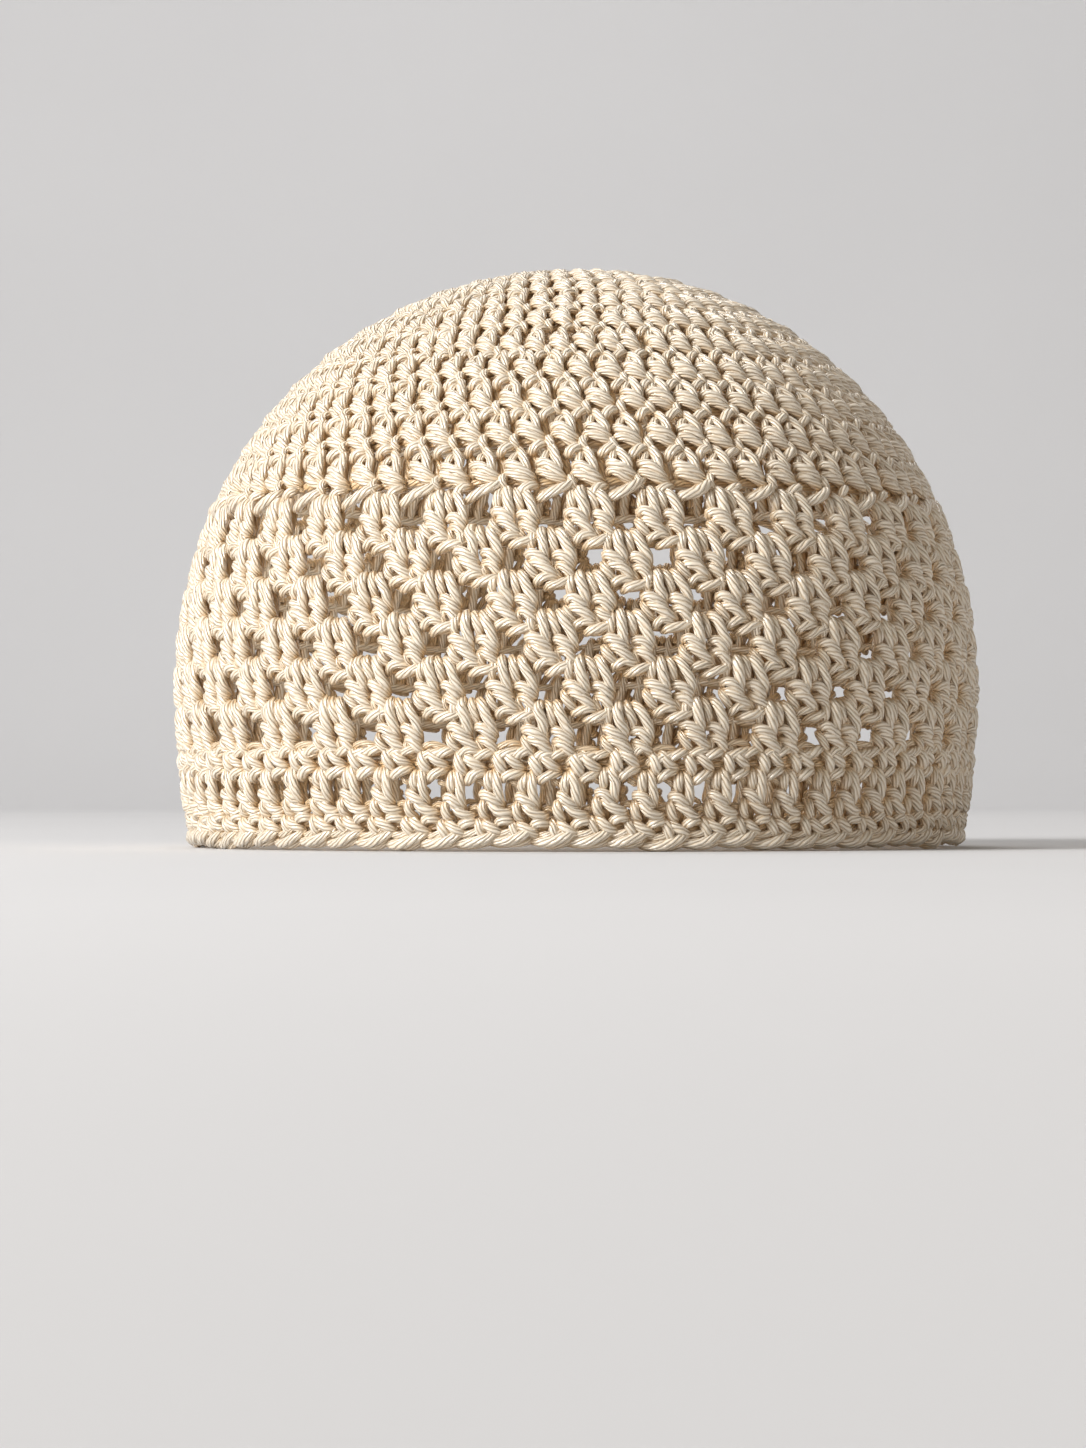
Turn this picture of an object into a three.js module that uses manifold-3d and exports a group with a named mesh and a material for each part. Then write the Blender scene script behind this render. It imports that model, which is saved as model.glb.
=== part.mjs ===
// A crocheted kufi: a close-fitting domed cap worked in rounds from the middle of its top down to its rim.
// Four sections of the one wall meet edge to edge: the close crown, the openwork, the band above the rim and
// the chain edge that the cap stands on. Millimetres, +Z up, origin at the centre of the rim's flat underside.
import * as THREE from "three";
import { mergeVertices } from "three/addons/utils/BufferGeometryUtils.js";
import Module from "manifold-3d";

// The cap's outline, seen from the side. It is round in plan.
const CAP_HEIGHT = 131;
const WIDEST_RADIUS = 91;
const WIDEST_HEIGHT = 35;
const RIM_RADIUS = 87.5;
// 2 makes the crown an ellipse in side view, and more makes its shoulders squarer.
const CROWN_FULLNESS = 2.05;

// The crocheted wall is two strands of yarn thick. Its rounds reach the outline, with a hollow above each.
const WALL = 4;
const HOLLOW = 1;

// How deep each section is along the wall. The crown takes the rest.
const EDGE_DEPTH = 3.2;
const BAND_DEPTH = 16.2;
const OPENWORK_ROUND_DEPTH = 9.2;
const OPENWORK_ROUNDS = 6;
const CROWN_ROUNDS = 11;

// A round of the openwork has one gap beside each of its clusters of stitches. The band has two windows to each.
const CLUSTERS = 34;
const WINDOWS = CLUSTERS * 2;
const GAP_WIDTH = 4.8;
const GAP_HEIGHT = 4;
const WINDOW_WIDTH = 3.2;
const WINDOW_HEIGHT = 4.6;

// The first and the last of the openwork's rounds that are pierced. In the others the gaps are blind pockets.
const FIRST_PIERCED = 3;
const LAST_PIERCED = 5;
const POCKET_FLOOR = 1.2;

// What a cutter stands clear of the face that it enters, and the seam left between two sections.
const CUTTER_CLEARANCE = 2;
const SEAM = 0.3;

// One facet to a cluster, so that every gap and window lies within a single flat face.
const FACETS = CLUSTERS;
const ARC_STEPS = 600;
const WELD = 1e-4;

const YARN = { color: 0xe9dcc2, roughness: 0.62, metalness: 0 };

// One round of the crown or openwork: how far down it each line lies, and what share of HOLLOW it is sunk.
const ROUND_PROFILE = [
  { along: 0.0, sunk: 0.7 },
  { along: 0.64, sunk: 0.0 },
];

// The same for the whole band, which has a row of windows between two close rounds.
const BAND_PROFILE = [
  { along: 0.0, sunk: 0.7 },
  { along: 0.09, sunk: 0.0 },
  { along: 0.18, sunk: 0.5 },
  { along: 0.78, sunk: 0.7 },
  { along: 0.9, sunk: 0.0 },
  { along: 1.0, sunk: 0.6 },
];

// The chain edge in section: how far in from the outline and how far up, as shares of the wall and its height.
const EDGE_SECTION = [
  { inward: 0.78, up: 0.0 },
  { inward: 1.15, up: 0.0 },
  { inward: 1.0, up: 1.0 },
  { inward: 0.1, up: 1.0 },
  { inward: 0.4, up: 0.45 },
];

// How far down an openwork round its gaps are centred, and how far down the band its windows are.
const GAP_ALONG = 0.34;
const WINDOW_ALONG = 0.4;

const wasm = await Module();
wasm.setup();

// The wall's outer line from the apex to the rim, as radius and height.
class Meridian extends THREE.Curve {
  static CROWN_SHARE = 0.8;

  constructor() {
    super();
    this.arcLengthDivisions = ARC_STEPS;
  }

  getPoint(t, target = new THREE.Vector2()) {
    if (t <= Meridian.CROWN_SHARE) {
      const angle = (t / Meridian.CROWN_SHARE) * (Math.PI / 2);
      const power = 2 / CROWN_FULLNESS;
      const rise = CAP_HEIGHT - WIDEST_HEIGHT;
      return target.set(
        WIDEST_RADIUS * Math.sin(angle) ** power,
        WIDEST_HEIGHT + rise * Math.max(0, Math.cos(angle)) ** power,
      );
    }
    const down = (t - Meridian.CROWN_SHARE) / (1 - Meridian.CROWN_SHARE);
    return target.set(
      WIDEST_RADIUS - (WIDEST_RADIUS - RIM_RADIUS) * down ** 2,
      WIDEST_HEIGHT * (1 - down),
    );
  }
}

const meridian = new Meridian();
const LENGTH = meridian.getLength();

// Where each section begins, measured along the wall from the apex.
const EDGE_START = LENGTH - EDGE_DEPTH;
const BAND_START = EDGE_START - BAND_DEPTH;
const OPENWORK_START = BAND_START - OPENWORK_ROUNDS * OPENWORK_ROUND_DEPTH;
const CROWN_ROUND_DEPTH = OPENWORK_START / CROWN_ROUNDS;

// The point of the wall at a distance along it from the apex, moved outwards by offset.
function wallPoint(distance, offset) {
  const share = THREE.MathUtils.clamp(distance / LENGTH, 0, 1);
  const point = meridian.getPointAt(share);
  const normal = wallNormal(distance);
  return new THREE.Vector2(
    Math.max(0, point.x + normal.x * offset),
    point.y + normal.y * offset,
  );
}

// The wall's outward direction there. It is straight up at the apex.
function wallNormal(distance) {
  if (distance <= 0) return new THREE.Vector2(0, 1);
  const tangent = meridian.getTangentAt(
    THREE.MathUtils.clamp(distance / LENGTH, 0, 1),
  );
  return new THREE.Vector2(-tangent.y, tangent.x);
}

// Turns a profile of radius and height round the cap's axis.
function turned(profile) {
  const geometry = new THREE.LatheGeometry(profile, FACETS);
  geometry.rotateX(Math.PI / 2);
  return geometry;
}

function toSolid(geometry) {
  const bare = geometry.clone();
  bare.deleteAttribute("normal");
  bare.deleteAttribute("uv");
  const merged = mergeVertices(bare, WELD);
  const corners = merged.index.array;
  const triangles = [];
  for (let i = 0; i < corners.length; i += 3) {
    const [a, b, c] = corners.slice(i, i + 3);
    if (a !== b && b !== c && c !== a) triangles.push(a, b, c);
  }
  return new wasm.Manifold(
    new wasm.Mesh({
      numProp: 3,
      vertProperties: merged.getAttribute("position").array,
      triVerts: new Uint32Array(triangles),
    }),
  );
}

function toGeometry(solid) {
  const mesh = solid.getMesh();
  const positions = new Float32Array(mesh.numVert * 3);
  for (let i = 0; i < mesh.numVert; i++) {
    const first = i * mesh.numProp;
    positions.set(mesh.vertProperties.subarray(first, first + 3), i * 3);
  }
  return new THREE.BufferGeometry()
    .setAttribute("position", new THREE.BufferAttribute(positions, 3))
    .setIndex(new THREE.BufferAttribute(mesh.triVerts, 1));
}

// A block that cuts a gap of that width and height, centred at a place on the wall, down to depth below its face.
function gapCutter(distance, angle, width, height, depth) {
  const block = new THREE.BoxGeometry(depth + CUTTER_CLEARANCE, width, height);
  block.translate((CUTTER_CLEARANCE - depth) / 2, 0, 0);
  const normal = wallNormal(distance);
  const centre = wallPoint(distance, 0);
  block.rotateY(-Math.atan2(normal.y, normal.x));
  block.translate(centre.x, 0, centre.y);
  block.rotateZ(angle);
  return toSolid(block);
}

// A ring of cutters. Turn says how far the first is past the start of its share of the ring.
function gapRing({ distance, count, turn, width, height, depth }) {
  const cutters = [];
  for (let i = 0; i < count; i++) {
    const angle = ((i + turn) / count) * 2 * Math.PI;
    cutters.push(gapCutter(distance, angle, width, height, depth));
  }
  return cutters;
}

function cut(geometry, cutters) {
  return toGeometry(toSolid(geometry).subtract(wasm.Manifold.union(cutters)));
}

// The outer line of rounds of equal depth from a place on the wall down to the seam below them.
function roundsProfile(start, depth, count) {
  const points = [];
  for (let round = 0; round < count; round++) {
    for (const { along, sunk } of ROUND_PROFILE) {
      points.push(wallPoint(start + (round + along) * depth, -sunk * HOLLOW));
    }
  }
  const end = start + count * depth - SEAM;
  points.push(wallPoint(end, -ROUND_PROFILE[0].sunk * HOLLOW));
  return points;
}

// The wall's inner line between two places, back up towards the apex, in equal steps.
function innerLine(start, end, steps) {
  const points = [];
  for (let i = 0; i <= steps; i++) {
    points.push(wallPoint(end + ((start - end) * i) / steps, -WALL));
  }
  return points;
}

// The closed profile of a ring of wall. Its outer line runs down and its inner line runs up.
function ringProfile(outer, inner) {
  return [...outer, ...inner, outer[0].clone()].reverse();
}

function crownGeometry() {
  const innerSteps = 5;
  const outer = roundsProfile(0, CROWN_ROUND_DEPTH, CROWN_ROUNDS);
  outer[0] = new THREE.Vector2(0, CAP_HEIGHT);
  const inner = innerLine(0, OPENWORK_START - SEAM, innerSteps);
  inner[innerSteps] = new THREE.Vector2(0, CAP_HEIGHT - WALL);
  return turned([...outer, ...inner].reverse());
}

function openworkGeometry() {
  const innerSteps = 3;
  const end = BAND_START - SEAM;
  const outer = roundsProfile(
    OPENWORK_START,
    OPENWORK_ROUND_DEPTH,
    OPENWORK_ROUNDS,
  );
  const shell = turned(
    ringProfile(outer, innerLine(OPENWORK_START, end, innerSteps)),
  );
  const cutters = [];
  for (let round = 1; round <= OPENWORK_ROUNDS; round++) {
    const pierced = round >= FIRST_PIERCED && round <= LAST_PIERCED;
    const along = round - 1 + GAP_ALONG;
    // Odd and even rounds are half a cluster apart, as each pair of stitches is worked into the gap above it.
    const turn = round % 2 === 1 ? 0.25 : 0.75;
    cutters.push(
      ...gapRing({
        distance: OPENWORK_START + along * OPENWORK_ROUND_DEPTH,
        count: CLUSTERS,
        turn,
        width: GAP_WIDTH,
        height: GAP_HEIGHT,
        depth: pierced ? WALL + CUTTER_CLEARANCE : WALL - POCKET_FLOOR,
      }),
    );
  }
  return cut(shell, cutters);
}

function bandGeometry() {
  const innerSteps = 1;
  const depth = BAND_DEPTH - SEAM;
  const outer = BAND_PROFILE.map(({ along, sunk }) =>
    wallPoint(BAND_START + along * depth, -sunk * HOLLOW),
  );
  const shell = turned(
    ringProfile(outer, innerLine(BAND_START, BAND_START + depth, innerSteps)),
  );
  const cutters = gapRing({
    distance: BAND_START + WINDOW_ALONG * BAND_DEPTH,
    count: WINDOWS,
    turn: 0.5,
    width: WINDOW_WIDTH,
    height: WINDOW_HEIGHT,
    depth: WALL - POCKET_FLOOR,
  });
  return cut(shell, cutters);
}

function edgeGeometry() {
  const points = EDGE_SECTION.map(({ inward, up }) => {
    const top = wallPoint(EDGE_START, -inward * WALL);
    return new THREE.Vector2(top.x, top.y * up);
  });
  return turned([...points, points[0].clone()].reverse());
}

function piece(name, geometry) {
  const mesh = new THREE.Mesh(geometry, new THREE.MeshStandardMaterial(YARN));
  mesh.name = name;
  return mesh;
}

const kufi = new THREE.Group();
kufi.add(piece("crown", crownGeometry()));
kufi.add(piece("openwork", openworkGeometry()));
kufi.add(piece("rim_band", bandGeometry()));
kufi.add(piece("chain_edge", edgeGeometry()));

export default kufi;
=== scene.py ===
"""A kufi crocheted in thick cream cotton, stitch by stitch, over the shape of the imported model.

Every stitch is a few strands of twisted yarn. A strand is a tube through a few points given in millimetres:
across the wall (to the right as the cap is seen from outside), down the wall, and out of it.
"""

import math

import bpy
import numpy as np
from mathutils import Matrix, Vector


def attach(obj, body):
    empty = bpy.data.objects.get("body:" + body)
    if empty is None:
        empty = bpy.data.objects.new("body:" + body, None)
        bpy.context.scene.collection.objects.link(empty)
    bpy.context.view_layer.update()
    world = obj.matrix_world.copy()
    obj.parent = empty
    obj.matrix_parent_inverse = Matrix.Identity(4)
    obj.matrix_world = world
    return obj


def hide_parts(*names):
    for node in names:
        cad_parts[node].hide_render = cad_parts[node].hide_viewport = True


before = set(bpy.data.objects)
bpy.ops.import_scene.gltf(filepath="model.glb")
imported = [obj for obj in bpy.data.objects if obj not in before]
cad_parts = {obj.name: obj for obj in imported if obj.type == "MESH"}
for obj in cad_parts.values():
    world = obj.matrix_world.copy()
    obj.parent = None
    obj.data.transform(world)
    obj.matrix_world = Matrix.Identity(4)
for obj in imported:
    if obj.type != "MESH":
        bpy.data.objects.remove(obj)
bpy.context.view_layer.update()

MM = 0.001
SEED = 20

# The cap's outline, as in the model: a superellipse crown over sides that draw in towards the rim.
CAP_HEIGHT = 131
WIDEST_RADIUS = 91
WIDEST_HEIGHT = 35
RIM_RADIUS = 87.5
CROWN_FULLNESS = 2.05

# The depth of each group of rounds along the wall, from the rim up. The crown takes the rest.
RIM_DEPTH = 19.4
OPENWORK_ROUND_DEPTH = 9.2
OPENWORK_ROUNDS = 6
CROWN_STITCHES = [10, 20, 30, 40, 50, 58, 66, 68, 68, 68, 68]
# The crown's pieces, each with the last of its rounds.
CROWN_PIECES = {6: "crown_top", 9: "crown_shoulder", 11: "crown_side"}
CLUSTERS = 34
POSTS = 68

# Where a cluster, a post and the crown's last stitches lie, in degrees to the right of the camera.
ODD_CLUSTER_ANGLE = -0.6
POST_ANGLE = -1.9
CROWN_ANGLE = 1.0
# How far from the apex the wraps of the crown's first round lie, and how far above the openwork those of its
# last round.
CROWN_FIRST = 6.2
CROWN_LAST = 7.9
# Each close round starts this share of a stitch to the left of the round above.
CROWN_SLANT = 0.26

# Yarn: plies twisted together, with one full turn to this length of yarn. Each strand starts somewhere within
# this many turns of the twist, so that neighbours differ.
PLIES = 7
TWIST_PITCH = 17.0
TWIST_STARTS = 40

# A strand's tube: its sides, more of them where it is thicker than this radius, how much it narrows to its
# ends and how far its tips reach past them, both as shares of its radius.
THICK_RADIUS = 0.9
THICK_SIDES = 7
THIN_SIDES = 6
END_TAPER = 0.5
TIP_REACH = 0.6

# How much hand work wanders: a stitch's place, a strand's points and thickness, and a round's height.
PLACE_WANDER = 0.28
POINT_WANDER = 0.15
THICKNESS_WANDER = 0.05
ROUND_WANDER = 0.35
# The share of that by which a strand's points wander in and out of the wall.
OUT_WANDER = 0.5

# The width of one stitch that each table below is drawn at, how tall the crown's is, and how far down its
# wrap and a cluster's chain lie.
CROWN_PERIOD = 6.2
CROWN_TALL = 9.8
CROWN_WRAP = 6.5
CLUSTER_PERIOD = 16.0
CLUSTER_CHAIN = 13.8
POST_PERIOD = 8.3
# Narrow stitches near the apex have thinner strands, down to this share.
THINNEST = 0.45
# The chains lie this far above the end of their round, and the first openwork round is this much taller than
# the others, to reach the close round above it.
CHAIN_RISE = 0.3
FIRST_ROUND_TALL = 1.02


def strand(radius, *points):
    """A strand of a stitch: its radius and the points that it runs through."""
    return {"radius": radius, "points": points}


# The tables of stitches. Those named INSIDE are plain strands on the inside of the wall.

# One close stitch of the crown. Down is from the top of its round.
CROWN_STITCH = [
    # The two sides of its loop, the right one carrying on from the stitch above.
    strand(0.90, (0.9, 0.3, -3.0), (0.2, 1.3, -1.9), (-0.5, 2.7, -1.6), (-1.0, 4.4, -2.6)),
    strand(1.02, (0.1, -1.4, -2.8), (1.0, 0.4, -1.6), (1.8, 2.6, -1.2), (2.2, 4.8, -1.2),
           (2.5, 7.0, -2.6)),
    # The wrap round its foot, two strands that draw together to the right.
    strand(1.12, (-1.0, 4.5, -3.2), (-1.1, 3.8, -1.9), (0.2, 4.6, -1.1), (2.1, 6.2, -1.2),
           (4.0, 7.8, -2.8)),
    strand(1.06, (-1.5, 6.5, -3.1), (-1.0, 6.0, -1.9), (0.6, 7.1, -1.4), (2.6, 8.3, -1.8),
           (4.7, 9.0, -3.1)),
    # What the wrap turns into: the next stitch's loop.
    strand(0.95, (-1.1, 6.2, -3.0), (-2.0, 7.4, -1.7), (-1.9, 8.9, -1.3), (-1.0, 10.6, -2.3)),
    # The top loop of the stitch below, which rises to the right.
    strand(1.08, (1.1, 12.2, -2.8), (1.8, 10.9, -1.6), (3.0, 9.9, -1.3), (4.5, 9.3, -2.5)),
]
# How many of these strands lie within their own round.
CROWN_LOOPS = 4
CROWN_INSIDE = [
    strand(1.15, (-3.6, 7.9, -4.0), (0.0, 7.3, -3.7), (3.6, 7.9, -4.0)),
    strand(1.30, (-0.4, -0.8, -3.8), (0.6, 3.4, -3.4), (0.8, 7.8, -3.8)),
    strand(1.20, (2.8, -0.4, -3.9), (3.6, 3.4, -3.6), (3.8, 7.8, -3.9)),
]

# One cluster of the openwork, a pair of tall stitches. Down is from the top of its loops.
CLUSTER = [
    # The first tall stitch: three loops side by side, two wraps below them and the strand under their left.
    strand(1.04, (0.6, 2.6, -3.8), (0.35, 1.9, -2.6), (-0.2, 3.0, -1.7), (-0.35, 4.8, -1.6),
           (-0.1, 7.2, -2.8)),
    strand(1.16, (2.0, 2.4, -3.8), (1.8, 1.6, -2.4), (1.8, 2.9, -1.1), (2.2, 5.2, -1.1),
           (2.8, 7.3, -1.4), (3.2, 9.4, -2.8)),
    strand(1.03, (3.5, 2.4, -3.8), (3.5, 1.7, -2.6), (4.0, 3.0, -1.6), (4.6, 5.2, -1.7),
           (5.1, 7.4, -2.8)),
    strand(1.18, (-0.2, 8.0, -3.4), (-0.8, 7.0, -2.0), (0.6, 7.3, -1.1), (2.4, 8.7, -1.2),
           (3.8, 10.2, -2.5)),
    strand(1.18, (-0.2, 9.2, -3.0), (0.5, 8.9, -1.7), (2.2, 9.9, -1.2), (3.9, 11.4, -1.6),
           (5.0, 12.5, -3.0)),
    strand(0.95, (-1.2, 8.4, -3.0), (-1.0, 9.8, -1.7), (0.1, 11.5, -1.7), (1.5, 13.0, -2.9)),
    # The second: its long loop, two wraps below that and the strand under their left end.
    strand(1.12, (5.0, 2.5, -3.7), (5.4, 1.8, -2.4), (6.3, 3.2, -1.2), (7.4, 5.6, -1.1),
           (8.2, 7.6, -1.4), (8.7, 9.5, -2.8)),
    strand(1.19, (5.4, 8.0, -3.4), (4.9, 7.3, -2.1), (6.2, 7.7, -1.3), (7.6, 9.1, -1.4),
           (8.4, 10.6, -2.8)),
    strand(1.14, (5.8, 10.2, -3.1), (5.6, 9.6, -2.2), (6.9, 10.3, -1.5), (8.1, 11.8, -1.8),
           (8.8, 13.2, -2.9)),
    strand(0.84, (5.0, 9.2, -3.0), (4.9, 10.6, -2.1), (5.5, 12.2, -2.1), (6.4, 13.4, -3.0)),
    # The stitches' top loop.
    strand(1.01, (0.3, 14.3, -3.0), (1.0, 13.2, -1.9), (2.5, 12.3, -1.5), (4.3, 12.4, -1.8),
           (5.7, 13.4, -3.0)),
]
# The chain from there to the next pair. It tucks in behind the loops of the round below.
CLUSTER_LINK = [
    strand(1.06, (2.6, 14.9, -3.0), (3.8, 14.4, -1.9), (5.6, 13.8, -1.4), (7.6, 13.2, -1.7),
           (10.0, 12.7, -2.8)),
    strand(0.74, (2.4, 14.0, -3.2), (4.4, 14.4, -2.5), (6.8, 14.1, -2.5), (9.2, 13.4, -3.2)),
]
CLUSTER_INSIDE = [
    strand(1.1, (-1.6, 13.2, -3.8), (4.0, 13.6, -3.5), (9.6, 13.2, -3.6), (15.4, 13.2, -3.8)),
    strand(1.15, (1.8, 1.6, -3.9), (2.0, 5.0, -3.7), (2.3, 9.4, -3.6), (2.8, 13.6, -3.8)),
    strand(1.15, (5.4, 1.8, -3.9), (6.0, 5.0, -3.7), (6.9, 9.4, -3.6), (7.6, 13.6, -3.8)),
]
# What the last round has in its place: the foot of its gaps, two strands of the close round below.
GAP_FOOT = [
    strand(0.80, (7.8, 12.2, -3.0), (9.0, 11.3, -2.3), (11.0, 10.8, -2.2), (13.2, 11.1, -2.4),
           (14.6, 12.0, -3.2)),
    strand(1.12, (7.6, 14.4, -2.8), (9.0, 13.5, -1.7), (11.2, 12.8, -1.6), (13.4, 12.5, -2.0),
           (14.8, 12.4, -3.0)),
]
# The two strands of the crown's last round over each gap of the first openwork round.
GAP_LINK = [
    strand(1.10, (-8.6, 4.2, -3.0), (-6.6, 3.6, -1.6), (-3.9, 2.6, -0.9), (-1.2, 1.1, -0.9),
           (1.1, -0.8, -2.4)),
    strand(0.86, (-8.0, 2.5, -3.2), (-5.6, 2.3, -2.1), (-3.0, 1.0, -1.9), (-0.8, -0.6, -2.9)),
]

# One post of the rim band with the close stitches above and below it. Here the second number is the height.
POST = [
    # The post's two sides, two wraps round its foot, and the strands under those at the left and right.
    strand(1.10, (0.9, 17.4, -2.9), (0.6, 16.2, -1.8), (0.3, 14.7, -1.5), (0.7, 12.6, -2.5)),
    strand(1.12, (1.9, 18.0, -3.2), (2.2, 16.6, -1.8), (2.5, 14.6, -1.2), (2.8, 12.2, -1.2),
           (3.2, 9.4, -2.6)),
    strand(1.16, (-0.5, 11.6, -3.2), (-0.8, 12.4, -1.9), (0.4, 11.9, -1.1), (1.8, 10.7, -1.2),
           (3.0, 9.6, -2.4)),
    strand(1.18, (-0.2, 10.6, -2.9), (0.7, 10.6, -1.7), (2.2, 9.2, -1.1), (4.0, 8.3, -1.5),
           (5.5, 8.2, -2.9)),
    strand(1.06, (-0.7, 11.2, -2.8), (-1.2, 9.9, -1.8), (-0.9, 8.2, -1.7), (0.4, 6.8, -2.8)),
    strand(1.12, (1.7, 5.6, -2.8), (2.8, 6.7, -1.4), (4.3, 7.0, -1.4), (5.9, 6.3, -2.8)),
    # The chain above the window at its left, and the one below the window at its right.
    strand(0.66, (-2.8, 15.8, -2.7), (-1.7, 15.2, -2.0), (-0.6, 14.2, -2.7)),
    strand(0.76, (3.8, 9.0, -3.1), (5.5, 9.8, -2.5), (7.2, 9.0, -3.1)),
    # The close round below the windows.
    strand(1.14, (-2.5, 7.2, -2.8), (-2.1, 5.9, -1.6), (-1.5, 4.2, -1.5), (-1.0, 2.6, -2.6)),
    strand(1.18, (-1.2, 6.8, -2.8), (-0.1, 6.0, -1.6), (1.4, 4.9, -1.3), (3.5, 3.7, -2.4)),
    # The close round above them.
    strand(1.27, (2.2, 21.6, -2.9), (2.6, 20.2, -1.5), (3.2, 18.3, -1.3), (3.8, 16.7, -2.8)),
    strand(1.18, (3.8, 21.4, -2.9), (4.8, 20.5, -1.6), (6.2, 19.2, -1.3), (8.1, 17.7, -2.7)),
    strand(1.06, (5.6, 19.8, -2.8), (6.8, 20.8, -1.7), (8.5, 21.6, -1.6), (10.6, 21.6, -2.8)),
    strand(1.14, (3.5, 15.1, -2.8), (4.6, 16.2, -1.5), (6.1, 17.1, -1.4), (8.4, 17.3, -2.8)),
]
POST_INSIDE = [
    strand(1.2, (-0.6, 18.6, -3.6), (4.0, 18.2, -3.3), (8.6, 18.6, -3.6)),
    strand(1.2, (-2.4, 5.2, -3.6), (2.2, 4.8, -3.3), (6.8, 5.2, -3.6)),
    strand(1.15, (1.2, 17.8, -3.8), (1.0, 12.0, -3.5), (1.6, 6.0, -3.8)),
]

# One link of the chain edge. The second number is the height.
EDGE_LINK = [
    strand(1.10, (0.4, 1.9, -2.7), (2.6, 1.5, -1.6), (5.4, 1.8, -0.9), (8.6, 2.9, -0.9),
           (11.6, 4.3, -2.4)),
    strand(0.92, (-0.4, 1.4, -3.0), (2.6, 1.05, -2.2), (5.8, 1.0, -1.8), (9.0, 1.6, -1.9),
           (11.2, 2.6, -2.9)),
    strand(0.84, (1.2, 3.2, -2.9), (3.6, 3.2, -1.7), (6.4, 3.9, -1.5), (9.2, 5.2, -2.8)),
]
EDGE_INSIDE = [
    strand(1.05, (1.6, 1.7, -3.8), (5.8, 1.4, -3.4), (10.0, 1.7, -3.8)),
]


# The wall


def outline(steps=4000):
    """The wall's outer line from the apex to the rim.

    Gives how far along it each point is, and the point's radius and height.
    """
    angle = np.linspace(0, math.pi / 2, steps)
    power = 2 / CROWN_FULLNESS
    crown_radius = WIDEST_RADIUS * np.sin(angle) ** power
    crown_height = WIDEST_HEIGHT + (CAP_HEIGHT - WIDEST_HEIGHT) * np.clip(np.cos(angle), 0, 1) ** power
    down = np.linspace(0, 1, steps)[1:]
    radius = np.append(crown_radius, WIDEST_RADIUS - (WIDEST_RADIUS - RIM_RADIUS) * down**2)
    height = np.append(crown_height, WIDEST_HEIGHT * (1 - down))
    along = np.append(0, np.cumsum(np.hypot(np.diff(radius), np.diff(height))))
    return along, radius, height


ALONG, RADIUS, HEIGHT = outline()
LENGTH = ALONG[-1]
OPENWORK_START = LENGTH - RIM_DEPTH - OPENWORK_ROUNDS * OPENWORK_ROUND_DEPTH
CROWN_ROUND_DEPTH = (OPENWORK_START - CROWN_LAST - CROWN_FIRST) / (len(CROWN_STITCHES) - 1)

# The wall's outward direction: straight up at the apex, and level where the wall is widest.
SLOPE_RADIUS = np.gradient(RADIUS, ALONG)
SLOPE_HEIGHT = np.gradient(HEIGHT, ALONG)


def radius_at(along):
    """The outline's radius that far along it."""
    return np.interp(along, ALONG, RADIUS)


def wall(along, angle, out):
    """Points of the wall in metres, and its outward directions.

    Past the apex the line goes on down the far side, and past the rim it goes straight down.
    """
    side = np.where(along < 0, -1.0, 1.0)
    distance = np.abs(along)
    radius = np.interp(distance, ALONG, RADIUS)
    height = np.interp(distance, ALONG, HEIGHT)
    run = np.interp(distance, ALONG, SLOPE_RADIUS)
    drop = np.interp(distance, ALONG, SLOPE_HEIGHT)
    length = np.hypot(run, drop)
    normal_out = -drop / length * side
    normal_up = run / length
    from_axis = radius * side + out * normal_out
    past_rim = np.clip(along - LENGTH, 0, None)
    sine, cosine = np.sin(angle), np.cos(angle)
    point = np.stack([from_axis * sine, -from_axis * cosine, height + out * normal_up - past_rim], axis=-1)
    normal = np.stack([normal_out * sine, -normal_out * cosine, normal_up + 0 * sine], axis=-1)
    return point * MM, normal


# Strands


def spline_weights(count, rings):
    """The share of each control point in each ring of a smooth line through the points (Catmull-Rom)."""
    weights = np.zeros((rings, count))
    for ring, place in enumerate(np.linspace(0, count - 1, rings)):
        first = min(int(place), count - 2)
        t = place - first
        shares = [
            -0.5 * t + t**2 - 0.5 * t**3,
            1 - 2.5 * t**2 + 1.5 * t**3,
            0.5 * t + 2 * t**2 - 1.5 * t**3,
            -0.5 * t**2 + 0.5 * t**3,
        ]
        for offset, share in enumerate(shares):
            weights[ring, np.clip(first - 1 + offset, 0, count - 1)] += share
    return weights


def corner_maps(*corners):
    """The ring and side of every face's corners, from two lists for each corner."""
    return np.stack([np.stack(corner, 1) for corner in corners], 1)


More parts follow.
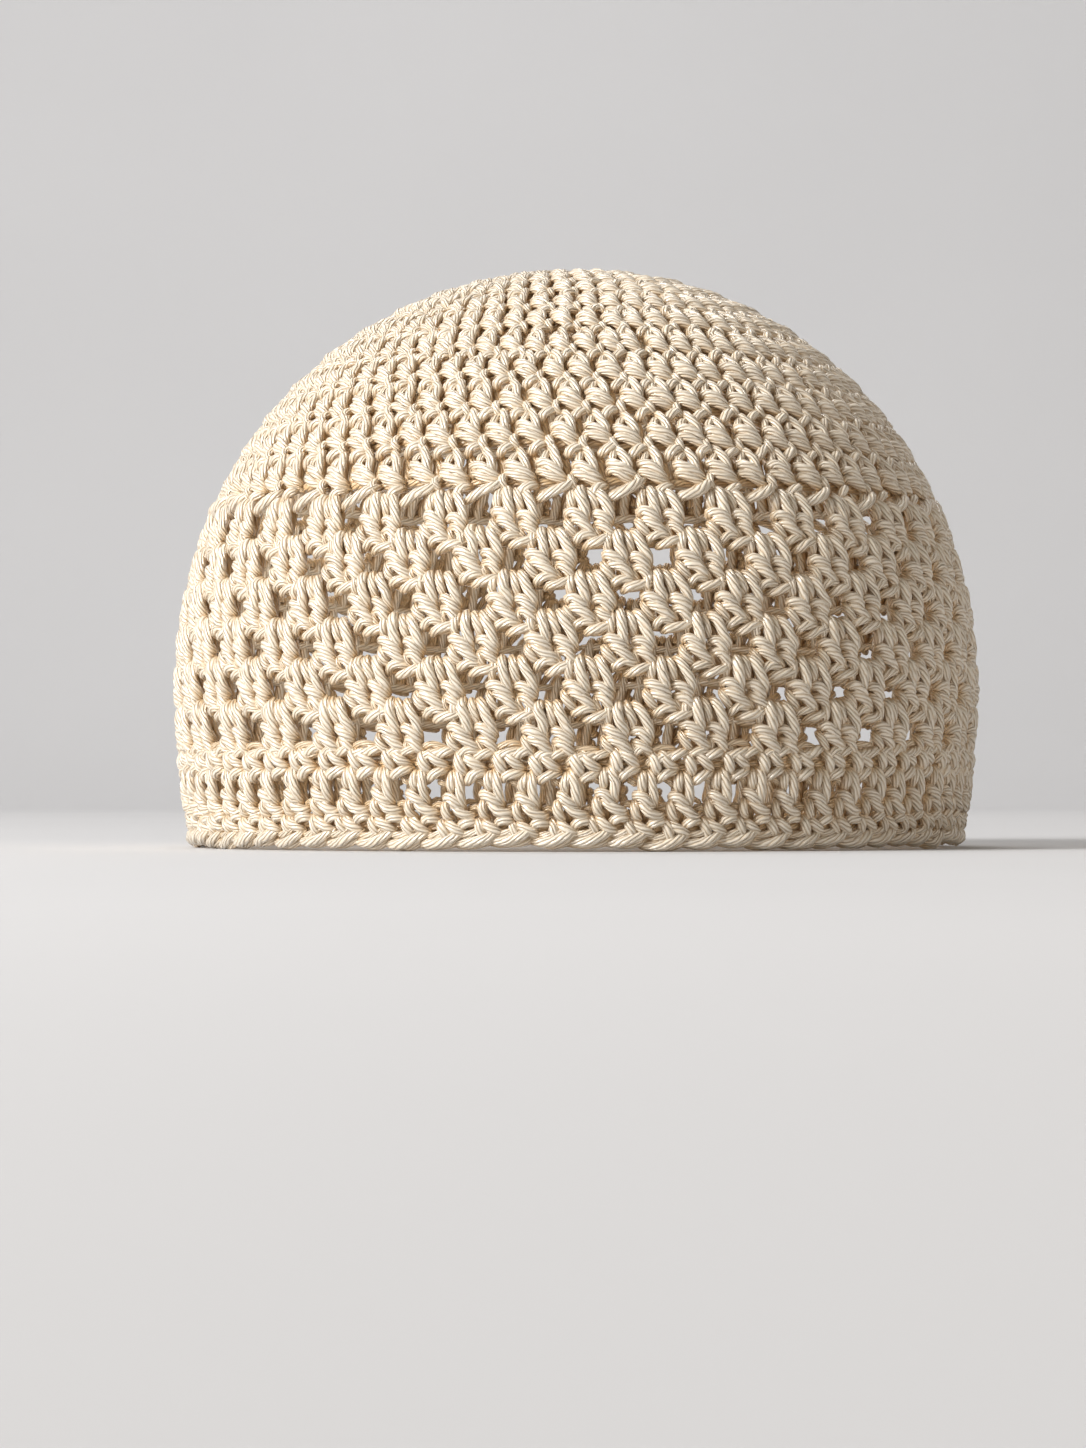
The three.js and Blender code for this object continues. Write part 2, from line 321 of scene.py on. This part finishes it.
class Yarn:
    """Gathers strands and makes them one mesh."""

    def __init__(self, rng):
        self.rng = rng
        self.points, self.depths, self.faces, self.maps = [], [], [], []
        self.count = 0

    def lay(self, shape, along, angle, per_mm, upwards=False, tall=1.0, sides=None):
        """Lays one strand in every stitch of a round, from the stitches' places along and round the wall.

        per_mm is the angle round the cap of one millimetre of the table. tall stretches the table's second
        number, which upwards measures from the rim.
        """
        points = np.array(shape["points"], float)
        wander = self.rng.normal(0, POINT_WANDER, (len(along), *points.shape))
        points = points[None] + wander * (1, 1, OUT_WANDER)
        # One ring at each point and one between each two.
        rings = 2 * points.shape[1] - 1
        sides = sides or (THICK_SIDES if shape["radius"] > THICK_RADIUS else THIN_SIDES)
        line = np.einsum("rc,scx->srx", spline_weights(points.shape[1], rings), points)
        down = -line[..., 1] if upwards else line[..., 1] * tall
        turn = angle[:, None] + line[..., 0] * per_mm
        centre, normal = wall(along[:, None] + down, turn, line[..., 2])
        self.tube(shape["radius"], centre, normal, -line[..., 2], sides)

    def tube(self, radius, centre, normal, depth, sides):
        """Adds the tubes of one strand, from their middle lines and how deep below the outline these lie."""
        rng = self.rng
        stitches, rings, _ = centre.shape
        ahead = np.gradient(centre, axis=1)
        ahead /= np.linalg.norm(ahead, axis=2, keepdims=True)
        # Carries the first ring's outward direction along the strand without twisting it.
        out = np.empty_like(centre)
        current = normal[:, 0]
        for ring in range(rings):
            current = current - ahead[:, ring] * (current * ahead[:, ring]).sum(1, keepdims=True)
            current /= np.linalg.norm(current, axis=1, keepdims=True)
            out[:, ring] = current
        side = np.cross(ahead, out)
        share = np.linspace(-1, 1, rings)
        swell = (1 - END_TAPER * np.abs(share) ** 4) * radius * MM
        thickness = swell * (1 + rng.normal(0, THICKNESS_WANDER, (stitches, 1)))
        # The map's seam lies on the side that faces into the cap.
        around = np.arange(sides) / sides * 2 * math.pi + math.pi
        offset = thickness[:, :, None, None] * (
            np.cos(around)[:, None] * out[:, :, None] + np.sin(around)[:, None] * side[:, :, None]
        )
        ends = [0, -1]
        tip = TIP_REACH * thickness[:, ends][..., None] * ahead[:, ends] * np.array([-1, 1])[:, None]
        tips = centre[:, ends] + tip
        step = np.linalg.norm(np.diff(centre, axis=1), axis=2)
        length = np.concatenate([np.zeros((stitches, 1)), np.cumsum(step, axis=1)], axis=1)
        turns = length / (TWIST_PITCH * MM) + rng.uniform(0, TWIST_STARTS, (stitches, 1))
        deep = depth[:, :, None] - (offset * normal[:, :, None]).sum(-1) / MM
        self.depths.append(np.concatenate([deep.reshape(stitches, -1), depth[:, ends]], axis=1).ravel())
        self.add(centre[:, :, None] + offset, tips, turns)

    def add(self, ring_points, tips, turns):
        """Joins each strand's rings with quads and closes its ends with fans, mapped by twist and side."""
        stitches, rings, sides, _ = ring_points.shape
        per_strand = rings * sides + 2
        vertices = np.concatenate([ring_points.reshape(stitches, -1, 3), tips], axis=1)
        ring, side = np.meshgrid(np.arange(rings - 1), np.arange(sides), indexing="ij")
        ring, side = ring.ravel(), side.ravel()
        following = (side + 1) % sides
        above = ring * sides
        below = above + sides
        quads = np.stack([above + side, above + following, below + following, below + side], 1)
        quad_maps = corner_maps((ring, side), (ring, side + 1), (ring + 1, side + 1), (ring + 1, side))
        edge = np.arange(sides)
        beyond = (edge + 1) % sides
        zero = edge * 0
        last = (rings - 1) * sides
        start_fan = np.stack([zero + rings * sides, beyond, edge], 1)
        end_fan = np.stack([zero + rings * sides + 1, last + edge, last + beyond], 1)
        start_maps = corner_maps((zero, edge + 0.5), (zero, edge + 1), (zero, edge))
        end_maps = start_maps[:, [0, 2, 1]].copy()
        end_maps[..., 0] = rings - 1
        first = self.count + np.arange(stitches)[:, None, None] * per_strand
        for faces, maps in ((quads, quad_maps), (start_fan, start_maps), (end_fan, end_maps)):
            self.faces.append((first + faces[None]).reshape(-1, faces.shape[1]))
            ring_of = np.round(maps[..., 0]).astype(int)
            along = turns[:, ring_of]
            across = np.broadcast_to(maps[..., 1] / sides, along.shape)
            self.maps.append(np.stack([along, across], -1).reshape(-1, 2))
        self.points.append(vertices.reshape(-1, 3))
        self.count += stitches * per_strand

    def mesh(self, name):
        """The strands as one object, with a UV map of turns of twist along the yarn and turns around it."""
        points = np.concatenate(self.points)
        corners = np.concatenate([faces.ravel() for faces in self.faces])
        sizes = np.concatenate([np.full(len(faces), faces.shape[1]) for faces in self.faces])
        starts = np.append(0, np.cumsum(sizes)[:-1])
        mesh = bpy.data.meshes.new(name)
        mesh.vertices.add(len(points))
        mesh.vertices.foreach_set("co", points.astype(np.float32).ravel())
        mesh.loops.add(len(corners))
        mesh.loops.foreach_set("vertex_index", corners.astype(np.int32))
        mesh.polygons.add(len(sizes))
        mesh.polygons.foreach_set("loop_start", starts.astype(np.int32))
        mesh.polygons.foreach_set("loop_total", sizes.astype(np.int32))
        mesh.polygons.foreach_set("use_smooth", np.ones(len(sizes), bool))
        layer = mesh.uv_layers.new(name="twist")
        layer.uv.foreach_set("vector", np.concatenate(self.maps).astype(np.float32).ravel())
        # How deep each point lies below the cap's outline, in millimetres. The yarn's colour uses it to paint
        # shade in the depths.
        depth = mesh.attributes.new("depth", "FLOAT", "POINT")
        depth.data.foreach_set("value", np.concatenate(self.depths).astype(np.float32))
        mesh.update(calc_edges=True)
        mesh.validate()
        piece = bpy.data.objects.new(name, mesh)
        bpy.context.scene.collection.objects.link(piece)
        return piece


# Rounds


def waves(rng, angle, size):
    """A slow wander round the cap, as the rounds of hand work rise and fall."""
    shift = np.zeros_like(angle)
    for turns in (2, 3, 5, 9):
        shift += np.sin(turns * angle + rng.uniform(0, 2 * math.pi)) * size / math.sqrt(turns)
    return shift


def work_round(yarn, tables, top, count, start_angle, drawn_at, middle, upwards=False, tall=1.0):
    """Works one round of count stitches, with the first at start_angle and its top that far along the wall.

    The tables are lists of strands, drawn for stitches drawn_at wide, and the last table is the inside of the
    wall. middle is how far along the wall the wander round the cap is measured.
    """
    rng = yarn.rng
    angle = start_angle + np.arange(count) * 2 * math.pi / count
    along = top + waves(rng, angle, ROUND_WANDER) + rng.normal(0, PLACE_WANDER, count)
    angle = angle + rng.normal(0, PLACE_WANDER, count) / radius_at(middle)
    per_mm = 2 * math.pi / count / drawn_at
    for table in tables:
        sides = THIN_SIDES if table is tables[-1] else None
        for shape in table:
            yarn.lay(shape, along, angle, per_mm, upwards, tall, sides)


def thinned(stitch, share):
    """The same strands with this share of their radius."""
    return [strand(shape["radius"] * share, *shape["points"]) for shape in stitch]


def crown_rounds():
    """The crown in three pieces, from the apex down."""
    rng = np.random.default_rng(SEED)
    pieces = {last: Yarn(rng) for last in CROWN_PIECES}
    phase = math.radians(CROWN_ANGLE)
    tall = CROWN_ROUND_DEPTH / CROWN_TALL
    # From the openwork up, so that the last round's stitches stand over its clusters and gaps.
    rounds = []
    for number in range(len(CROWN_STITCHES), 0, -1):
        count = CROWN_STITCHES[number - 1]
        rounds.append((number, count, phase))
        phase += CROWN_SLANT * 2 * math.pi / count
    for number, count, start in rounds:
        middle = CROWN_FIRST + (number - 1) * CROWN_ROUND_DEPTH
        top = middle - CROWN_WRAP * tall
        width = 2 * math.pi * radius_at(middle) / count
        share = min(1.0, THINNEST + (1 - THINNEST) * width / CROWN_PERIOD)
        yarn = next(yarn for last, yarn in pieces.items() if number <= last)
        stitch, inside = thinned(CROWN_STITCH, share), thinned(CROWN_INSIDE, share)
        if number < len(CROWN_STITCHES):
            work_round(yarn, [stitch, inside], top, count, start, CROWN_PERIOD, middle, tall=tall)
            continue
        # In the last round every second stitch stands over a gap, and no loop goes down from it.
        for over_gap in (False, True):
            first = start + over_gap * 2 * math.pi / count
            tables = [stitch[:CROWN_LOOPS] if over_gap else stitch, inside]
            work_round(yarn, tables, top, count // 2, first, CROWN_PERIOD * 2, middle, tall=tall)
    return [yarn.mesh(CROWN_PIECES[last]) for last, yarn in pieces.items()]


def openwork_rounds():
    """The openwork in two pieces. Every second round is turned by half a cluster."""
    rng = np.random.default_rng(SEED + 1)
    pieces = [Yarn(rng), Yarn(rng)]
    half = math.pi / CLUSTERS
    for number in range(1, OPENWORK_ROUNDS + 1):
        chain = OPENWORK_START + number * OPENWORK_ROUND_DEPTH - CHAIN_RISE
        start = math.radians(ODD_CLUSTER_ANGLE) - (0 if number % 2 else half)
        tall = FIRST_ROUND_TALL if number == 1 else 1.0
        tables = [CLUSTER, CLUSTER_LINK, CLUSTER_INSIDE]
        if number == 1:
            tables.insert(0, GAP_LINK)
        if number == OPENWORK_ROUNDS:
            tables[1] = GAP_FOOT
        yarn = pieces[0] if number <= OPENWORK_ROUNDS // 2 else pieces[1]
        top = chain - CLUSTER_CHAIN * tall
        work_round(yarn, tables, top, CLUSTERS, start, CLUSTER_PERIOD, chain, tall=tall)
    return [pieces[0].mesh("openwork_upper"), pieces[1].mesh("openwork_lower")]


def rim_rounds():
    """The rim band and the chain edge, measured up from the rim."""
    rng = np.random.default_rng(SEED + 2)
    band, edge = Yarn(rng), Yarn(rng)
    start = math.radians(POST_ANGLE)
    work_round(band, [POST, POST_INSIDE], LENGTH, POSTS, start, POST_PERIOD, LENGTH, upwards=True)
    work_round(edge, [EDGE_LINK, EDGE_INSIDE], LENGTH, POSTS, start, POST_PERIOD, LENGTH, upwards=True)
    return band.mesh("rim_band_stitches"), edge.mesh("chain_edge_stitches")


# Materials


def socket(tree, kind, inputs=None, **settings):
    """Adds a node and gives its first output. Inputs are values or other nodes' outputs."""
    node = tree.nodes.new(kind)
    for name, value in settings.items():
        setattr(node, name, value)
    for key, value in (inputs or {}).items():
        if isinstance(value, bpy.types.NodeSocket):
            tree.links.new(value, node.inputs[key])
        else:
            node.inputs[key].default_value = value
    return node.outputs[0]


def maths(tree, operation, *values):
    """Adds a node that works on numbers or other nodes' outputs, and gives its result."""
    return socket(tree, "ShaderNodeMath", dict(enumerate(values)), operation=operation)


def yarn_material():
    """Mercerised cotton: plies as ridges along the twist with painted shade in their creases, fine fibre over
    them with painted sheen, and painted ochre shade in the depths.
    """
    # The painted shade of the creases between plies, the yarn's body, the streaks of fibre with their painted
    # sheen and how much they show, and the painted ochre shade of the depths.
    painted_crease_shade, body_dark, body_pale = (0.77, 0.58, 0.36, 1), (0.87, 0.74, 0.56, 1), (0.92, 0.82, 0.67, 1)
    fibre_and_sheen, fibre_and_sheen_share = (0.99, 0.97, 0.91, 1), 0.5
    painted_shade_ochre = (0.81, 0.57, 0.31, 1)
    # How far the plies wander, how round they are, and how many fibres lie across a ply and along a turn.
    ply_wander, ply_roundness = 0.9, 0.7
    fibres_across, fibres_along = 7.0, 3.0
    # In millimetres: how high plies and fibres stand, and the depths between which the painted ochre shade
    # sets in and fades back out towards the inside of the wall.
    ply_height, fibre_height = 0.32, 0.09
    painted_shade_starts, painted_shade_full, painted_shade_holds, painted_shade_ends = 0.3, 2.4, 3.8, 4.8

    material = bpy.data.materials.new("cotton_yarn")
    material.use_nodes = True
    tree = material.node_tree
    shader = tree.nodes["Principled BSDF"]
    shader.inputs["Roughness"].default_value = 0.31
    shader.inputs["IOR"].default_value = 1.65
    shader.inputs["Specular IOR Level"].default_value = 1.0
    shader.inputs["Sheen Weight"].default_value = 0.12
    shader.inputs["Sheen Roughness"].default_value = 0.4

    twist = tree.nodes.new("ShaderNodeUVMap")
    twist.uv_map = "twist"
    split = tree.nodes.new("ShaderNodeSeparateXYZ")
    tree.links.new(twist.outputs[0], split.inputs[0])
    turns, around = split.outputs[0], split.outputs[1]
    uneven = socket(tree, "ShaderNodeTexNoise", {"Vector": twist.outputs[0], "Scale": 5.0, "Detail": 1.0})
    phase = maths(tree, "MULTIPLY", maths(tree, "ADD", turns, around), float(PLIES))
    phase = maths(tree, "ADD", phase, maths(tree, "MULTIPLY", uneven, ply_wander))
    ridge = maths(tree, "ABSOLUTE", maths(tree, "SINE", maths(tree, "MULTIPLY", phase, math.pi)))
    ply = maths(tree, "POWER", ridge, ply_roundness)

    fibre = tree.nodes.new("ShaderNodeCombineXYZ")
    tree.links.new(maths(tree, "MULTIPLY", phase, fibres_across), fibre.inputs[0])
    tree.links.new(maths(tree, "MULTIPLY", turns, fibres_along), fibre.inputs[1])
    grain = socket(tree, "ShaderNodeTexNoise", {"Vector": fibre.outputs[0], "Scale": 1.0, "Detail": 3.0})

    place = tree.nodes.new("ShaderNodeTexCoord").outputs["Object"]
    patch = socket(tree, "ShaderNodeTexNoise", {"Vector": place, "Scale": 160.0, "Detail": 2.0})

    body = mix(tree, patch, body_dark, body_pale)
    # Pale streaks along the fibres: partly the fibres' own tone, partly painted sheen.
    fibre_and_sheen_streaked = mix(tree, maths(tree, "MULTIPLY", grain, fibre_and_sheen_share), body, fibre_and_sheen)
    # Painted shade: the colour darkens in the creases between the plies.
    crease_shaded = mix(tree, ply, painted_crease_shade, fibre_and_sheen_streaked)
    # Painted shade: within the wall the colour turns ochre, for the warm shade of light that reaches it there
    # through other yarn, and it turns back towards the inside of the wall.
    depth = tree.nodes.new("ShaderNodeAttribute")
    depth.attribute_name = "depth"
    painted_shade_deepening = smooth_step(tree, depth.outputs["Fac"], painted_shade_starts, painted_shade_full)
    inside = smooth_step(tree, depth.outputs["Fac"], painted_shade_ends, painted_shade_holds)
    colour = mix(tree, maths(tree, "MULTIPLY", painted_shade_deepening, inside), crease_shaded, painted_shade_ochre)
    tree.links.new(colour, shader.inputs["Base Color"])

    ridges = tree.nodes.new("ShaderNodeBump")
    ridges.inputs["Strength"].default_value = 1.0
    ridges.inputs["Distance"].default_value = ply_height * MM
    tree.links.new(ply, ridges.inputs["Height"])
    fibres = tree.nodes.new("ShaderNodeBump")
    fibres.inputs["Strength"].default_value = 0.9
    fibres.inputs["Distance"].default_value = fibre_height * MM
    tree.links.new(grain, fibres.inputs["Height"])
    tree.links.new(ridges.outputs[0], fibres.inputs["Normal"])
    tree.links.new(fibres.outputs[0], shader.inputs["Normal"])
    return material


def smooth_step(tree, value, start, end):
    """0 at the start value and 1 at the end value."""
    return socket(
        tree,
        "ShaderNodeMapRange",
        {"Value": value, "From Min": start, "From Max": end, "To Min": 0.0, "To Max": 1.0},
        interpolation_type="SMOOTHSTEP",
    )


def mix(tree, factor, first, second):
    """A colour between two colours or other nodes' outputs."""
    node = tree.nodes.new("ShaderNodeMix")
    node.data_type = "RGBA"
    # A mix node's sockets are numbered, and these are the factor and the two colours.
    for value, key in ((factor, 0), (first, 6), (second, 7)):
        if isinstance(value, bpy.types.NodeSocket):
            tree.links.new(value, node.inputs[key])
        else:
            node.inputs[key].default_value = value
    return node.outputs[2]


def backdrop_material():
    """Matt grey paper, faintly mottled."""
    paper_dark, paper_pale = (0.60, 0.60, 0.61, 1), (0.64, 0.64, 0.65, 1)
    material = bpy.data.materials.new("backdrop_paper")
    material.use_nodes = True
    tree = material.node_tree
    shader = tree.nodes["Principled BSDF"]
    shader.inputs["Roughness"].default_value = 0.9
    shader.inputs["Specular IOR Level"].default_value = 0.1
    place = tree.nodes.new("ShaderNodeTexCoord").outputs["Object"]
    mottle = socket(tree, "ShaderNodeTexNoise", {"Vector": place, "Scale": 3.0, "Detail": 2.0})
    colour = mix(tree, mottle, paper_dark, paper_pale)
    tree.links.new(colour, shader.inputs["Base Color"])
    return material


# The studio


def backdrop():
    """A sheet of paper that lies as the floor and curves up into the wall behind. Sizes in metres."""
    width, front, bend_start, bend, top = 5.0, -2.6, 1.8, 0.9, 3.4
    steps = 24
    section = [(front, 0.0)]
    for step in range(steps + 1):
        turn = math.pi / 2 * step / steps
        section.append((bend_start + bend * math.sin(turn), bend - bend * math.cos(turn)))
    section.append((bend_start + bend, top))
    vertices = [(x, y, z) for y, z in section for x in (-width / 2, width / 2)]
    faces = [(2 * i, 2 * i + 1, 2 * i + 3, 2 * i + 2) for i in range(len(section) - 1)]
    mesh = bpy.data.meshes.new("backdrop")
    mesh.from_pydata(vertices, [], faces)
    mesh.polygons.foreach_set("use_smooth", [True] * len(faces))
    mesh.materials.append(backdrop_material())
    paper = bpy.data.objects.new("backdrop", mesh)
    bpy.context.scene.collection.objects.link(paper)


def aim(thing, target):
    """Turns a light or camera to look at a point."""
    thing.rotation_euler = (Vector(target) - thing.location).to_track_quat("-Z", "Y").to_euler()


def softbox(name, place, target, size, power, colour):
    """A square light of that size in metres and power in watts."""
    light = bpy.data.lights.new(name, "AREA")
    light.shape = "SQUARE"
    light.size = size
    light.energy = power
    light.color = colour
    lamp = bpy.data.objects.new(name, light)
    lamp.location = place
    bpy.context.scene.collection.objects.link(lamp)
    aim(lamp, target)


def studio_light():
    """A large light at the left, weak ones at the right and above, and one for the wall."""
    cap = (0, 0, 0.06)
    softbox("key", (-1.3, -0.92, 0.87), cap, size=0.8, power=43, colour=(1.0, 0.99, 0.975))
    softbox("fill", (1.1, -1.3, 0.7), cap, size=0.5, power=3.2, colour=(1.0, 0.88, 0.74))
    softbox("top", (-0.2, 0.3, 1.6), cap, size=1.2, power=2.5, colour=(1.0, 1.0, 1.0))
    wall_foot = (0.3, 2.6, 0.4)
    softbox("wall_wash", (-0.3, 1.1, 2.3), wall_foot, size=1.2, power=34, colour=(1.0, 0.99, 0.98))
    softbox("bounce", (1.5, 0.9, 0.7), cap, size=1.2, power=2.6, colour=(1.0, 0.90, 0.78))
    # A faint warm light in the hollow stands for what comes through the yarn itself.
    hollow = bpy.data.lights.new("hollow", "POINT")
    hollow.shadow_soft_size = 0.03
    hollow.energy = 0.065
    hollow.color = (1.0, 0.96, 0.90)
    lamp = bpy.data.objects.new("hollow", hollow)
    lamp.location = (-0.035, 0.0, 0.06)
    lamp.visible_camera = False
    bpy.context.scene.collection.objects.link(lamp)
    world = bpy.data.worlds.new("room")
    world.use_nodes = True
    world.node_tree.nodes["Background"].inputs["Color"].default_value = (1.0, 0.93, 0.855, 1)
    world.node_tree.nodes["Background"].inputs["Strength"].default_value = 0.165
    bpy.context.scene.world = world


def camera():
    """Looks at the cap from just above the floor, at the distance that the photograph's perspective gives."""
    frame_width, frame_height = 1086, 1448
    distance, height = 1.137, 0.014
    focal_pixels = 5014
    # Where the rim's near edge and the cap's axis are in the photograph.
    rim_row, axis_column = 852, 576
    rim_reach = RIM_RADIUS * MM
    rim_below = focal_pixels * height / (distance - rim_reach)
    horizon_row = rim_row - rim_below
    pitch = math.atan((horizon_row - frame_height / 2) / focal_pixels)
    yaw = math.atan((axis_column - frame_width / 2) / focal_pixels)
    lens = bpy.data.cameras.new("camera")
    lens.sensor_width = 36
    lens.lens = focal_pixels / frame_height * lens.sensor_width
    lens.clip_start = 0.05
    viewer = bpy.data.objects.new("camera", lens)
    turn = Matrix.Rotation(yaw, 4, "Z") @ Matrix.Rotation(math.pi / 2 + pitch, 4, "X")
    viewer.matrix_world = Matrix.Translation((0, -distance, height)) @ turn
    bpy.context.scene.collection.objects.link(viewer)
    bpy.context.scene.camera = viewer


# The scene

camera()
backdrop()
studio_light()
bpy.context.scene.view_settings.view_transform = "Standard"

cotton = yarn_material()
crown_top, crown_shoulder, crown_side = crown_rounds()
openwork_upper, openwork_lower = openwork_rounds()
band, edge = rim_rounds()
for piece, node in (
    (crown_top, "crown"),
    (crown_shoulder, "crown"),
    (crown_side, "crown"),
    (openwork_upper, "openwork"),
    (openwork_lower, "openwork"),
    (band, "rim_band"),
    (edge, "chain_edge"),
):
    piece.data.materials.append(cotton)
    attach(piece, "root")
    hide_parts(node)
